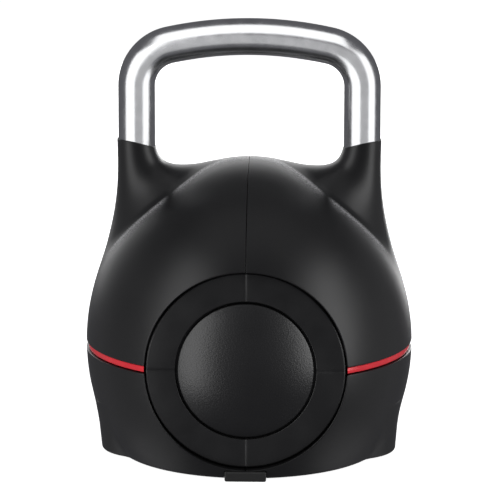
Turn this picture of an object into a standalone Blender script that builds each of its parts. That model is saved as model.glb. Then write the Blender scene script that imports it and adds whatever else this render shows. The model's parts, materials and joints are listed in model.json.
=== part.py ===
"""Adjustable kettlebell: a steel handle in a moulded ball of four shells round a cast-iron drum.

Each open end of the drum takes a cartridge of weight discs under a domed cover, which a lock ring
holds in. Metres, +Z up, the bell stands on z = 0, the handle runs along X and the front faces -Y.
"""

import math

import bmesh
import bpy
import numpy as np
from mathutils import Matrix, Vector

MM = 0.001

# Ball and its split
BALL_R = 125.0 * MM
CROWN_H = 143.0 * MM
BELLY_H = 139.3 * MM
FOOT_PAD_PROUD = 0.8 * MM
BALL_FLOOR_DROP = 83.0 * MM
EQUATOR_Z = BALL_FLOOR_DROP + FOOT_PAD_PROUD
WALL = 4.0 * MM
SEAM_HALF_GAP = 0.2 * MM
GROOVE_HALF = 2.9 * MM
GAP = 0.3 * MM

# Shoulders, one round each leg of the handle
LEG_X = 85.8 * MM
LIP_Z = EQUATOR_Z + 154.6 * MM
LIP_SLOPE = 0.21
LIP_RISE = 9.7
LIP_FACE_R = 13.0 * MM
LIP_DEPTH = 5.0 * MM
CORE_TOP = 229.6 * MM
CORE_R = 1.7 * MM
CORE_TAPER = 0.562
CORE_CURVE = 7.9
CORE_TURN = 17.5
CORE_SPLAY = 0.039
CORE_BEND = 0.175
CORE_FADE = 2.0
SHOULDER_FLARE = 81.1 * MM
SHOULDER_SINK = 1.2 * MM
CREASE_Y = 30.0 * MM
CREASE_SINK = 15.7 * MM
CREASE_FLARE = 51.5 * MM
SHOULDER_CREASE = 3.0 * MM
FOOT_X = 113.2 * MM
FOOT_LEAN = 0.06
FOOT_HALF_Y = 44.0 * MM
FOOT_TAPER_Y = 0.45
FOOT_CORNER = 36.0 * MM
FOOT_TOP_DROP = 40.0 * MM
FOOT_CREASE = 4.0 * MM
FOOT_RUN_OUT = -105.0 * MM

# Handle
TUBE_R = 14.0 * MM
GASKET_IN_R = TUBE_R + 0.2 * MM
GASKET_OUT_R = TUBE_R + 0.7 * MM
GASKET_THICK = 0.9 * MM
GASKET_STEPS = 20
TUBE_BORE_R = 11.0 * MM
TOP_ARC_R = 282.0 * MM
TOP_Z = EQUATOR_Z + 236.1 * MM
CORNER_R = 32.0 * MM
LEG_END_Z = EQUATOR_Z + 12.0 * MM
TUBE_SIDES = 16
BOLT_Z = EQUATOR_Z + 28.0 * MM
BOLT_R = 4.0 * MM
BOLT_HEX_HALF = 6.4 * MM
BOLT_HEAD_H = 5.0 * MM
BOLT_NUT_H = 6.5 * MM
BOLT_TAIL = 2.5 * MM
PLUG_LEN = 33.7 * MM

# Drum, mouths and lock rings: distances along Y are measured outwards from the middle
DRUM_R = 72.0 * MM
CHAMBER_R = 64.0 * MM
DRUM_END = 87.7 * MM
WEB_HALF = 4.0 * MM
BOSS_R = 20.5 * MM
BOSS_LOW_Z = EQUATOR_Z - 20.0 * MM
BOSS_TOP_Z = EQUATOR_Z + 48.0 * MM
SOCKET_SPARE = 2.0 * MM
MOUTH_R = 75.2 * MM
SKIRT_R = 79.0 * MM
FLANGE_IN_R = 64.5 * MM
FLANGE_BACK = 88.0 * MM
FLANGE_FRONT = 92.0 * MM
RING_R = 73.9 * MM
RING_IN_R = 52.5 * MM
RING_FACE = 100.0 * MM
RING_BACK = 92.3 * MM
RING_CHAMFER = 0.9 * MM
RING_INNER_CHAMFER = 0.4 * MM
INDEX_GROOVES = 4
INDEX_GROOVE_HALF = 0.8 * MM
INDEX_GROOVE_DEPTH = 1.0 * MM
DOME_R = 51.2 * MM
DOME_RISE = 14.5 * MM
DOME_EDGE = 99.6 * MM
DOME_SKIN = 3.0 * MM
DOME_FLANGE = 4.4 * MM
DOME_FLANGE_FRONT = 93.6 * MM
DOME_STEPS = 5

# Weight stack
DISC_R = 62.0 * MM
DISC_BORE_R = 8.4 * MM
DISC_THICK = 18.0 * MM
DISC_COUNT = 3
STACK_START = 27.3 * MM
SPINDLE_R = 8.0 * MM
SPINDLE_END = 10.0 * MM
SPINDLE_HEAD_R = 13.0 * MM
SPINDLE_HEAD_H = 5.4 * MM
SPINDLE_HEX_HALF = 12.0 * MM
SPINDLE_NUT_H = 10.5 * MM
WASHER_R = 17.0 * MM
WASHER_THICK = 2.7 * MM
BUSH_R = 14.0 * MM
PLATE_R = 63.0 * MM
PLATE_BACK = 86.3 * MM
PLATE_FRONT = 90.3 * MM
SEAL_IN_R = 56.4 * MM
SEAL_OUT_R = 62.6 * MM

# Flange screws
SCREWS_PER_END = 4
SCREW_CIRCLE_R = 68.3 * MM
SCREW_SHANK_R = 1.9 * MM
SCREW_HEAD_R = 3.4 * MM
SCREW_SUNK = 0.1 * MM
SCREW_CONE_START = 0.5 * MM
SCREW_CONE_END = 2.2 * MM
SCREW_TIP = 77.0 * MM
SCREW_CLEARANCE = 0.25 * MM

# Accent band and rubber feet
BAND_OUT_R = 123.3 * MM
BAND_IN_R = 118.8 * MM
BAND_HALF_H = 2.2 * MM
BAND_END_GAP = 0.5 * MM
BAND_STEPS = 24
TAB_HALF_W = 15.5 * MM
TAB_FACE = 105.6 * MM
TAB_BACK = 96.0 * MM
TAB_H = 7.6 * MM
TAB_CORNER_R = 2.2 * MM
PAD_LOW = (90.0 * MM, -17.0 * MM, 0.0)
PAD_HIGH = (107.0 * MM, 17.0 * MM, 2.4 * MM)

# Detail of the faceted solids: columns along the seam, columns round the side, rows down
SHELL_STEPS = (12, 20, 9)
HOLLOW_STEPS = (10, 14, 8)
ROUND_STEPS = 32
RING_STEPS = 48
SMALL_STEPS = 8
HEX_STEPS = 12
HUB_STEPS = 24
LONGEST_RAY = 400.0 * MM
PAST_CUT = 1.0 * MM
FAR_OUT = 140.0 * MM
CUT_REACH = 5.0 * MM


def clear_scene():
    for old in list(bpy.data.objects):
        bpy.data.objects.remove(old, do_unlink=True)


def material(name, colour, roughness, metallic):
    found = bpy.data.materials.get(name)
    if found:
        return found
    made = bpy.data.materials.new(name)
    made.use_nodes = True
    shader = made.node_tree.nodes["Principled BSDF"]
    shader.inputs["Base Color"].default_value = (*colour, 1.0)
    shader.inputs["Roughness"].default_value = roughness
    shader.inputs["Metallic"].default_value = metallic
    return made


def finishes():
    return {
        "shell": material("shell_black", (0.020, 0.020, 0.021), 0.5, 0.0),
        "ring": material("ring_black", (0.010, 0.010, 0.011), 0.55, 0.0),
        "dome": material("dome_black", (0.018, 0.018, 0.019), 0.45, 0.0),
        "red": material("accent_red", (0.55, 0.03, 0.04), 0.25, 0.0),
        "rubber": material("rubber_black", (0.010, 0.010, 0.010), 0.85, 0.0),
        "chrome": material("satin_chrome", (0.75, 0.75, 0.77), 0.18, 1.0),
        "steel": material("zinc_steel", (0.55, 0.55, 0.57), 0.35, 1.0),
        "iron": material("cast_iron", (0.07, 0.07, 0.075), 0.65, 1.0),
    }


def new_object(name, mesh_builder, finish):
    """Makes an object from a bmesh that mesh_builder fills, with its faces turned outwards."""
    shape = bmesh.new()
    mesh_builder(shape)
    bmesh.ops.recalc_face_normals(shape, faces=shape.faces)
    mesh = bpy.data.meshes.new(name)
    shape.to_mesh(mesh)
    shape.free()
    mesh.shade_smooth()
    mesh.set_sharp_from_angle(angle=math.radians(30))
    made = bpy.data.objects.new(name, mesh)
    bpy.context.scene.collection.objects.link(made)
    if finish is not None:
        made.data.materials.append(finish)
    return made


def as_cutter(item):
    item.hide_render = True
    item.display_type = "WIRE"
    return item


def boolean(item, other, operation, solver="EXACT"):
    modifier = item.modifiers.new(operation.lower() + "_" + other.name, "BOOLEAN")
    modifier.operation = operation
    modifier.object = other
    modifier.solver = solver


# ---------------------------------------------------------------- turned pieces


def turned(shape, profile, steps, axis_point=(0.0, 0.0), direction="Y"):
    """Closed solid of revolution. profile lists (radius, distance along the axis), in order.

    A radius of 0 is one vertex on the axis, and a radius may be a function of the angle. The profile
    is closed by its two ends on the axis, or by joining its last point to its first.
    """
    rings = []
    for radius, along in profile:
        count = 1 if radius == 0.0 else steps
        ring = []
        for i in range(count):
            angle = 2.0 * math.pi * i / steps
            out = radius(angle) if callable(radius) else radius
            a = out * math.cos(angle)
            b = out * math.sin(angle)
            if direction == "Y":
                ring.append(shape.verts.new((axis_point[0] + a, along, axis_point[1] + b)))
            else:
                ring.append(shape.verts.new((axis_point[0] + a, axis_point[1] + b, along)))
        rings.append(ring)
    pairs = list(zip(rings, rings[1:]))
    if len(rings[0]) > 1:
        pairs.append((rings[-1], rings[0]))
    for first, second in pairs:
        join_rings(shape, first, second)


def join_rings(shape, first, second):
    steps = max(len(first), len(second))
    if len(first) == 1 and len(second) == 1:
        return
    for i in range(steps):
        j = (i + 1) % steps
        corners = [first[i % len(first)], first[j % len(first)]]
        corners += [second[j % len(second)], second[i % len(second)]]
        unique = list(dict.fromkeys(corners))
        shape.faces.new(unique)


def hexagon(half_flat):
    """Radius of a hexagon at each angle; the corners fall on odd multiples of 30 degrees."""

    def radius(angle):
        off_flat = (angle + math.pi / 6.0) % (math.pi / 3.0) - math.pi / 6.0
        return half_flat / math.cos(off_flat)

    return radius


def box(shape, low, high):
    size = Vector(high) - Vector(low)
    centre = (Vector(high) + Vector(low)) / 2.0
    matrix = Matrix.Translation(centre) @ Matrix.Diagonal((*size, 1.0))
    bmesh.ops.create_cube(shape, size=1.0, matrix=matrix)


# ---------------------------------------------------------------- ball, shoulders and feet


def smooth_min(a, b, width):
    overlap = np.maximum(width - np.abs(a - b), 0.0) / width
    return np.minimum(a, b) - overlap * overlap * width * 0.25


def ball_field(x, y, z):
    height = np.where(z > 0.0, CROWN_H, BELLY_H)
    unit = np.sqrt((x * x + y * y) / BALL_R**2 + (z / height) ** 2)
    slope = np.sqrt((x * x + y * y) / BALL_R**4 + (z / height**2) ** 2)
    return unit * (unit - 1.0) / np.maximum(slope, 1e-9)


def shoulder_field(x, y, z, ball):
    """A core round each leg, blended into a slightly sunk ball; off the middle plane it ends in a crease."""
    depth = CORE_TOP - z
    radius = CORE_R + CORE_TAPER * depth - CORE_CURVE * depth**2 + CORE_TURN * depth**3
    centre = LEG_X + CORE_SPLAY * depth + CORE_BEND * depth**2
    core = np.hypot(np.abs(x) - centre, y) - radius + CORE_FADE * np.maximum(-z, 0.0)
    off = y * y / (y * y + CREASE_Y**2)
    sunk = ball + SHOULDER_SINK + CREASE_SINK * off
    return smooth_min(core, sunk, SHOULDER_FLARE + CREASE_FLARE * off)


def foot_field(x, y, z):
    rise = z + BALL_FLOOR_DROP
    over_x = np.abs(x) - (FOOT_X + FOOT_LEAN * rise - FOOT_CORNER)
    over_y = np.abs(y) - (FOOT_HALF_Y + FOOT_TAPER_Y * rise - FOOT_CORNER)
    outside = np.hypot(np.maximum(over_x, 0.0), np.maximum(over_y, 0.0))
    inside = np.minimum(np.maximum(over_x, over_y), 0.0)
    return np.maximum(outside + inside - FOOT_CORNER, np.maximum(z + FOOT_TOP_DROP, FOOT_RUN_OUT - z))


def body_field(points):
    """Negative inside the outer form of the bell, zero on it. points are (n, 3) in world metres.

    The form runs on below the bell's flat base, which is cut afterwards.
    """
    x = points[:, 0]
    y = points[:, 1]
    z = points[:, 2] - EQUATOR_Z
    ball = ball_field(x, y, z)
    form = smooth_min(ball, shoulder_field(x, y, z, ball), SHOULDER_CREASE)
    return smooth_min(form, foot_field(x, y, z), FOOT_CREASE)


def cavity_field(points):
    """Negative in the hollow: the form less its wall, and the bore for the handle's leg."""
    inner = body_field(points) + WALL
    bore = np.hypot(np.abs(points[:, 0]) - LEG_X, points[:, 1]) - (TUBE_R + GAP)
    bore = np.where(points[:, 2] > EQUATOR_Z, bore, 1.0)
    return np.minimum(inner, bore)


def lip_height(x, y):
    return LIP_Z + LIP_SLOPE * (np.abs(x) - LEG_X) + LIP_RISE * y * y


def ray_lengths(field, start, directions, longest):
    """Distance from start to the surface along each direction, by bisection."""
    near = np.zeros(len(directions))
    far = np.full(len(directions), longest)
    for _ in range(40):
        middle = (near + far) / 2.0
        inside = field(start + directions * middle[:, None]) < 0.0
        near = np.where(inside, middle, near)
        far = np.where(inside, far, middle)
    return (near + far) / 2.0


def seam_height(field, heading, plane_x, start_z, upward):
    """How far above or below start_z the surface meets the seam plane, for one heading."""
    reach = (LEG_X + plane_x) / math.cos(heading)
    origin = np.array([plane_x, reach * math.sin(heading), start_z])
    if field(origin[None, :])[0] >= 0.0:
        return reach, 0.0
    sign = 1.0 if upward else -1.0
    height = ray_lengths(field, origin, np.array([[0.0, 0.0, sign]]), LONGEST_RAY)[0]
    return reach, height


def resample(points, count):
    """count points spaced evenly along the polyline."""
    steps = np.linalg.norm(np.diff(points, axis=0), axis=1)
    run = np.concatenate([[0.0], np.cumsum(steps)])
    wanted = np.linspace(0.0, run[-1], count)
    return np.stack([np.interp(wanted, run, points[:, k]) for k in range(3)], axis=1)


def profile_at(field, heading, plane_x, start_z, upward, lip_margin, rows):
    """Points down one half-plane through the leg's axis, from the lip or the bottom to the split."""
    start = np.array([-LEG_X, 0.0, start_z])
    flat = np.array([math.cos(heading), math.sin(heading), 0.0])
    up = np.array([0.0, 0.0, 1.0 if upward else -1.0])
    end_angle = 0.0
    toward_seam = flat[0] * ray_lengths(field, start, flat[None, :], LONGEST_RAY)[0] - LEG_X > plane_x
    if toward_seam:
        reach, height = seam_height(field, heading, plane_x, start_z, upward)
        end_angle = math.atan2(height, reach)
    top_angle = math.pi / 2.0
    if upward:
        top_angle = lip_angle(field, start, flat, lip_margin)
    angles = np.linspace(top_angle, end_angle, 160)
    directions = np.cos(angles)[:, None] * flat + np.sin(angles)[:, None] * up
    points = start + directions * ray_lengths(field, start, directions, LONGEST_RAY)[:, None]
    profile = resample(points, rows)
    if toward_seam:
        profile[-1, 0] = plane_x
    if upward:
        inner = start + flat * LIP_FACE_R
        inner[2] = lip_height(inner[0], inner[1]) + lip_margin
        profile = np.vstack([inner, profile])
    return profile


def lip_angle(field, start, flat, margin):
    """Elevation, seen from start, at which the surface passes through the lip."""
    low = math.radians(60.0)
    high = math.radians(89.9)
    for _ in range(30):
        middle = (low + high) / 2.0
        direction = math.cos(middle) * flat + math.sin(middle) * np.array([0.0, 0.0, 1.0])
        point = start + direction * ray_lengths(field, start, direction[None, :], LONGEST_RAY)[0]
        if point[2] > lip_height(point[0], point[1]) + margin:
            high = middle
        else:
            low = middle
    return (low + high) / 2.0


def headings(field, plane_x, start_z, seam_steps, side_steps):
    """Directions round the leg's axis; the seam's columns crowd towards its two corners."""
    origin = np.array([plane_x, 0.0, start_z])
    half_depth = ray_lengths(field, origin, np.array([[0.0, 1.0, 0.0]]), LONGEST_RAY)[0]
    corner = math.atan2(half_depth, LEG_X + plane_x)
    turn = np.linspace(math.pi, 0.0, seam_steps + 1)
    seam = np.arctan2(half_depth * np.cos(turn), LEG_X + plane_x)
    side = np.linspace(corner, 2.0 * math.pi - corner, side_steps + 1)[1:-1]
    return np.concatenate([seam, side])


def quarter_solid(shape, side, upward, hollow, steps):
    """One quarter of the ball as a closed solid, or the hollow inside it.

    The hollow runs past the seam, the split and the lip, so that it cuts cleanly through them.
    """
    seam_steps, side_steps, profile_rows = steps
    past = PAST_CUT if hollow else 0.0
    field = cavity_field if hollow else body_field
    plane_x = -SEAM_HALF_GAP + past
    offset = GROOVE_HALF - past
    start_z = EQUATOR_Z + (offset if upward else -offset)
    lip_margin = LIP_DEPTH if hollow else 0.0
    turns = headings(field, plane_x, start_z, seam_steps, side_steps)
    columns = [profile_at(field, turn, plane_x, start_z, upward, lip_margin, profile_rows) for turn in turns]
    rows = len(columns[0])
    grid = []
    for column in columns:
        grid.append([shape.verts.new((-side * p[0], p[1], p[2])) for p in column])
    count = len(grid)
    for i in range(count):
        first = grid[i]
        second = grid[(i + 1) % count]
        for j in range(rows - 1):
            if not upward and j == 0:
                continue
            shape.faces.new([first[j], first[j + 1], second[j + 1], second[j]])
    if upward:
        centre_z = float(np.mean([column[0][2] for column in columns]))
        tip = shape.verts.new((side * LEG_X, 0.0, centre_z))
        for i in range(count):
            shape.faces.new([grid[i][0], grid[(i + 1) % count][0], tip])
    else:
        tip = grid[0][0]
        for i in range(count):
            shape.faces.new([grid[i][1], grid[(i + 1) % count][1], tip])
        for column in grid[1:]:
            shape.verts.remove(column[0])
    rim = [column[-1] for column in grid]
    shape.faces.new(rim[: seam_steps + 1])
    shape.faces.new([rim[0]] + rim[seam_steps:])


def below(shape, top):
    """Everything under the height top."""
    box(shape, (-FAR_OUT, -FAR_OUT, -FAR_OUT), (FAR_OUT, FAR_OUT, top))


def shell(name, side, upward, finish):
    made = new_object(name, lambda s: quarter_solid(s, side, upward, False, SHELL_STEPS), finish)
    hollow = new_object("hollow_" + name, lambda s: quarter_solid(s, side, upward, True, HOLLOW_STEPS), None)
    return made, as_cutter(hollow)


# ---------------------------------------------------------------- cutters shared by the shells


def collar_profile(sign):
    """Block that leaves the skirt and flange of a mouth standing once the mouth is cut."""
    inner = FLANGE_IN_R - PAST_CUT
    back = sign * FLANGE_BACK
    far = sign * (FAR_OUT - PAST_CUT)
    return [(inner, back), (SKIRT_R, back), (SKIRT_R, far), (inner, far)]


def mouth_profile():
    """Both mouths and the way between them, through which the drum's chambers open."""
    return [
        (0.0, -FAR_OUT),
        (MOUTH_R, -FAR_OUT),
        (MOUTH_R, -FLANGE_FRONT),
        (FLANGE_IN_R, -FLANGE_FRONT),
        (FLANGE_IN_R, FLANGE_FRONT),
        (MOUTH_R, FLANGE_FRONT),
        (MOUTH_R, FAR_OUT),
        (0.0, FAR_OUT),
    ]


def screw_profile(sign, clearance):
    head = SCREW_HEAD_R + clearance
    shank = SCREW_SHANK_R + clearance
    front = FLANGE_FRONT + (PAST_CUT if clearance else -SCREW_SUNK)
    tip = SCREW_TIP - clearance
    return [
        (0.0, sign * front),
        (head, sign * front),
        (head, sign * (FLANGE_FRONT - SCREW_CONE_START)),
        (shank, sign * (FLANGE_FRONT - SCREW_CONE_END)),
        (shank, sign * tip),
        (0.0, sign * tip),
    ]


def screw_places():
    for i in range(SCREWS_PER_END):
        angle = 2.0 * math.pi * (i + 0.5) / SCREWS_PER_END
        yield i + 1, SCREW_CIRCLE_R * math.cos(angle), EQUATOR_Z + SCREW_CIRCLE_R * math.sin(angle)


def all_screw_holes(shape):
    for sign in (-1.0, 1.0):
        for _, x, z in screw_places():
            turned(shape, screw_profile(sign, SCREW_CLEARANCE), SMALL_STEPS, (x, z))


def tab_pockets(shape):
    for sign in (-1.0, 1.0):
        reach = sorted((sign * (TAB_BACK - GAP), sign * FAR_OUT))
        low = (-TAB_HALF_W - GAP, reach[0], -CUT_REACH)
        high = (TAB_HALF_W + GAP, reach[1], TAB_H + GAP)
        box(shape, low, high)


def pad_pockets(shape):
    for side in (-1.0, 1.0):
        reach = sorted((side * (PAD_LOW[0] - GAP), side * (PAD_HIGH[0] + GAP)))
        low = (reach[0], PAD_LOW[1] - GAP, -CUT_REACH)
        high = (reach[1], PAD_HIGH[1] + GAP, PAD_HIGH[2] + GAP)
        box(shape, low, high)


def make_shells(finish):
    axis = (0.0, EQUATOR_Z)
    collars = []
    for label, sign in (("front", -1.0), ("rear", 1.0)):
        profile = collar_profile(sign)
        collar = new_object("collar_" + label, lambda s: turned(s, profile, ROUND_STEPS, axis), None)
        collars.append(as_cutter(collar))
    mouth = as_cutter(new_object("mouths", lambda s: turned(s, mouth_profile(), ROUND_STEPS, axis), None))
    holes = as_cutter(new_object("screw_holes", all_screw_holes, None))
    tabs = as_cutter(new_object("tab_pockets", tab_pockets, None))
    pads = as_cutter(new_object("pad_pockets", pad_pockets, None))
    outer_base = as_cutter(new_object("outer_base", lambda s: below(s, FOOT_PAD_PROUD), None))
    inner_base = as_cutter(new_object("inner_base", lambda s: below(s, FOOT_PAD_PROUD + WALL), None))
    for side, word in ((-1.0, "left"), (1.0, "right")):
        for upward, level in ((True, "upper"), (False, "lower")):
            name = level + "_shell_" + word
            made, hollow = shell(name, side, upward, finish)
            if not upward:
                boolean(made, outer_base, "DIFFERENCE", "MANIFOLD")
                boolean(hollow, inner_base, "DIFFERENCE", "MANIFOLD")
            for collar in collars:
                boolean(hollow, collar, "DIFFERENCE", "MANIFOLD")
            boolean(made, hollow, "DIFFERENCE", "MANIFOLD")
            boolean(made, mouth, "DIFFERENCE", "MANIFOLD")
            boolean(made, holes, "DIFFERENCE", "MANIFOLD")
            if not upward:
                boolean(made, tabs, "DIFFERENCE", "MANIFOLD")
                boolean(made, pads, "DIFFERENCE", "MANIFOLD")


# ---------------------------------------------------------------- handle


def handle_path():
    """Centre line from the left leg's end, over the top, to the right leg's end."""
    arc_z = TOP_Z - TOP_ARC_R
    corner_x = LEG_X - CORNER_R
    corner_z = arc_z + math.sqrt((TOP_ARC_R - CORNER_R) ** 2 - corner_x**2)
    meet = math.atan2(corner_x, corner_z - arc_z)
    right = []
    for i in range(4):
        angle = meet * i / 4.0
        right.append((TOP_ARC_R * math.sin(angle), arc_z + TOP_ARC_R * math.cos(angle)))
    for i in range(7):
        angle = meet + (math.pi / 2.0 - meet) * i / 6.0
        right.append((corner_x + CORNER_R * math.sin(angle), corner_z + CORNER_R * math.cos(angle)))
    right.append((LEG_X, LEG_END_Z))
    left = [(-x, z) for x, z in reversed(right[1:])]
    return [Vector((x, 0.0, z)) for x, z in left + right]


def swept_tube(shape, path, outer, inner, sides):
    """Open-ended tube round a flat path in the XZ plane."""
    rings = []
    for radius in (outer, inner):
        run = []
        for i, point in enumerate(path):
            before = path[max(i - 1, 0)]
            after = path[min(i + 1, len(path) - 1)]
            along = (after - before).normalized()
            if i in (0, len(path) - 1):
                along = Vector((0.0, 0.0, 1.0 if i == 0 else -1.0))
            out = Vector((0.0, 1.0, 0.0))
            across = along.cross(out)
            ring = []
            for k in range(sides):
                angle = 2.0 * math.pi * k / sides
                spoke = across * math.cos(angle) + out * math.sin(angle)
                ring.append(shape.verts.new(point + radius * spoke))
            run.append(ring)
        rings.append(run)
    for run in rings:
        for first, second in zip(run, run[1:]):
            join_rings(shape, first, second)
    join_rings(shape, rings[0][0], rings[1][0])
    join_rings(shape, rings[0][-1], rings[1][-1])


def cross_hole(shape, radius):
    far = 3.0 * BOSS_R
    profile = [(0.0, -far), (radius, -far), (radius, far), (0.0, far)]
    for side in (-1.0, 1.0):
        turned(shape, profile, SMALL_STEPS, (side * LEG_X, BOLT_Z))


def lip_ring(shape, side):
    """Thin gasket that follows the sloping lip of a shoulder."""
    corners = (
        (GASKET_IN_R, GAP),
        (GASKET_OUT_R, GAP),
        (GASKET_OUT_R, GAP + GASKET_THICK),
        (GASKET_IN_R, GAP + GASKET_THICK),
    )
    rings = []
    for radius, lift in corners:
        ring = []
        for i in range(GASKET_STEPS):
            angle = 2.0 * math.pi * i / GASKET_STEPS
            x = side * LEG_X + radius * math.cos(angle)
            y = radius * math.sin(angle)
            ring.append(shape.verts.new((x, y, float(lip_height(x, y)) + lift)))
        rings.append(ring)
    for first, second in zip(rings, rings[1:] + rings[:1]):
        join_rings(shape, first, second)


def make_handle(looks):
    path = handle_path()
    chrome = looks["chrome"]
    tube = new_object("handle_tube", lambda s: swept_tube(s, path, TUBE_R, TUBE_BORE_R, TUBE_SIDES), chrome)
    hole = as_cutter(new_object("bolt_holes", lambda s: cross_hole(s, BOLT_R + GAP), None))
    boolean(tube, hole, "DIFFERENCE")
    for side, word in ((-1.0, "left"), (1.0, "right")):
        axis = (side * LEG_X, 0.0)
        plug_r = TUBE_BORE_R - GAP
        low = LEG_END_Z + GAP
        high = low + PLUG_LEN
        profile = [(0.0, low), (plug_r, low), (plug_r, high), (0.0, high)]
        plug = new_object(
            "handle_plug_" + word, lambda s: turned(s, profile, TUBE_SIDES, axis, "Z"), looks["steel"]
        )
        boolean(plug, hole, "DIFFERENCE")
        new_object("handle_gasket_" + word, lambda s: lip_ring(s, side), looks["rubber"])
        make_bolt(side, word, looks["steel"])
    return hole


def make_bolt(side, word, finish):
    """Cross bolt through the drum's boss and the leg, with its nut at the rear."""
    place = (side * LEG_X, BOLT_Z)
    head = hexagon(BOLT_HEX_HALF)
    seat = BOSS_R + GAP
    bolt = [
        (0.0, -seat - BOLT_HEAD_H),
        (head, -seat - BOLT_HEAD_H),
        (head, -seat),
        (BOLT_R, -seat),
        (BOLT_R, seat + BOLT_NUT_H + BOLT_TAIL),
        (0.0, seat + BOLT_NUT_H + BOLT_TAIL),
    ]
    new_object("handle_bolt_" + word, lambda s: turned(s, bolt, HEX_STEPS, place), finish)
    hole_r = BOLT_R + GAP
    nut = [(hole_r, seat), (head, seat), (head, seat + BOLT_NUT_H), (hole_r, seat + BOLT_NUT_H)]
    new_object("handle_nut_" + word, lambda s: turned(s, nut, HEX_STEPS, place), finish)


# ---------------------------------------------------------------- drum


def drum_profile():
    return [
        (0.0, -WEB_HALF),
        (CHAMBER_R, -WEB_HALF),
        (CHAMBER_R, -DRUM_END),
        (DRUM_R, -DRUM_END),
        (DRUM_R, DRUM_END),
        (CHAMBER_R, DRUM_END),
        (CHAMBER_R, WEB_HALF),
        (0.0, WEB_HALF),
    ]


def boss(shape, side):
    """Square boss on the drum's side, with flat faces for the cross bolt."""
    low_x, high_x = sorted((side * (LEG_X - BOSS_R), side * (LEG_X + BOSS_R)))
    box(shape, (low_x, -BOSS_R, BOSS_LOW_Z), (high_x, BOSS_R, BOSS_TOP_Z))


def leg_sockets(shape):
    """Blind holes in the bosses, a little deeper than the legs reach."""
    for side in (-1.0, 1.0):
        low = LEG_END_Z - SOCKET_SPARE
        high = BOSS_TOP_Z + CUT_REACH
        profile = [(0.0, low), (TUBE_R + GAP, low), (TUBE_R + GAP, high), (0.0, high)]
        turned(shape, profile, TUBE_SIDES, (side * LEG_X, 0.0), "Z")


def make_drum(finish, bolt_holes):
    axis = (0.0, EQUATOR_Z)
    drum = new_object("core_drum", lambda s: turned(s, drum_profile(), ROUND_STEPS, axis), finish)
    for side, word in ((-1.0, "left"), (1.0, "right")):
        lug = as_cutter(new_object("boss_" + word, lambda s: boss(s, side), None))
        boolean(drum, lug, "UNION")
    sockets = as_cutter(new_object("leg_sockets", leg_sockets, None))
    boolean(drum, sockets, "DIFFERENCE")
    boolean(drum, bolt_holes, "DIFFERENCE")
    boolean(drum, bpy.data.objects["screw_holes"], "DIFFERENCE")


# ---------------------------------------------------------------- band, tabs, pads, screws


def band(shape, side):
    """Strip of the accent ring on one side, from the front mouth round to the rear mouth."""
    end_x = MOUTH_R + BAND_END_GAP
    sections = []
    for i in range(BAND_STEPS + 1):
        section = []
        for radius, lift in (
            (BAND_IN_R, -BAND_HALF_H),
            (BAND_OUT_R, -BAND_HALF_H),
            (BAND_OUT_R, BAND_HALF_H),
            (BAND_IN_R, BAND_HALF_H),
        ):
            start = math.asin(end_x / radius)
            angle = start + (math.pi - 2.0 * start) * i / BAND_STEPS
            place = (side * radius * math.sin(angle), -radius * math.cos(angle), EQUATOR_Z + lift)
            section.append(shape.verts.new(place))
        sections.append(section)
    for first, second in zip(sections, sections[1:]):
        join_rings(shape, first, second)
    shape.faces.new(sections[0])
    shape.faces.new(sections[-1])


def tab(shape, sign):
    """Block with rounded upper corners, pushed into the lower shells from below."""
    corner = TAB_CORNER_R
    outline = [(-TAB_HALF_W, 0.0)]
    for centre_x, start in ((-TAB_HALF_W + corner, 180.0), (TAB_HALF_W - corner, 90.0)):
        for i in range(5):
            angle = math.radians(start - 90.0 * i / 4.0)
            outline.append((centre_x + corner * math.cos(angle), TAB_H - corner + corner * math.sin(angle)))
    outline.append((TAB_HALF_W, 0.0))
    faces = []
    for reach in (TAB_FACE, TAB_BACK):
        faces.append([shape.verts.new((x, sign * reach, z)) for x, z in outline])
    join_rings(shape, faces[0], faces[1])
    shape.faces.new(faces[0])
    shape.faces.new(faces[1])


def make_trim(looks):
    for side, word in ((-1.0, "left"), (1.0, "right")):
        new_object("accent_band_" + word, lambda s: band(s, side), looks["red"])
        low_x, high_x = sorted((side * PAD_LOW[0], side * PAD_HIGH[0]))
        low = (low_x, PAD_LOW[1], PAD_LOW[2])
        high = (high_x, PAD_HIGH[1], PAD_HIGH[2])
        new_object("side_foot_pad_" + word, lambda s: box(s, low, high), looks["rubber"])
    for sign, word in ((-1.0, "front"), (1.0, "rear")):
        new_object("foot_tab_" + word, lambda s: tab(s, sign), looks["rubber"])
        for number, x, z in screw_places():
            profile = screw_profile(sign, 0.0)
            name = "flange_screw_" + word + "_" + str(number)
            new_object(name, lambda s: turned(s, profile, SMALL_STEPS, (x, z)), looks["steel"])


# ---------------------------------------------------------------- cartridges and lock rings


def dome_profile():
    """Thin domed cover with a short wall and a flange at its back, which the lock ring holds."""
    radius = (DOME_R**2 + DOME_RISE**2) / (2.0 * DOME_RISE)

    def cap(r):
        return DOME_EDGE + DOME_RISE - radius + math.sqrt(radius**2 - r * r)

    inner_r = DOME_R - DOME_SKIN
    outer = [(DOME_R * i / DOME_STEPS, cap(DOME_R * i / DOME_STEPS)) for i in range(DOME_STEPS + 1)]
    flange = [
        (DOME_R, DOME_FLANGE_FRONT),
        (DOME_R + DOME_FLANGE, DOME_FLANGE_FRONT),
        (DOME_R + DOME_FLANGE, PLATE_FRONT + GAP),
        (inner_r, PLATE_FRONT + GAP),
    ]
    inner = []
    for i in range(DOME_STEPS, -1, -1):
        r = inner_r * i / DOME_STEPS
        inner.append((r, cap(r) - DOME_SKIN))
    return outer + flange + inner


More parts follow.
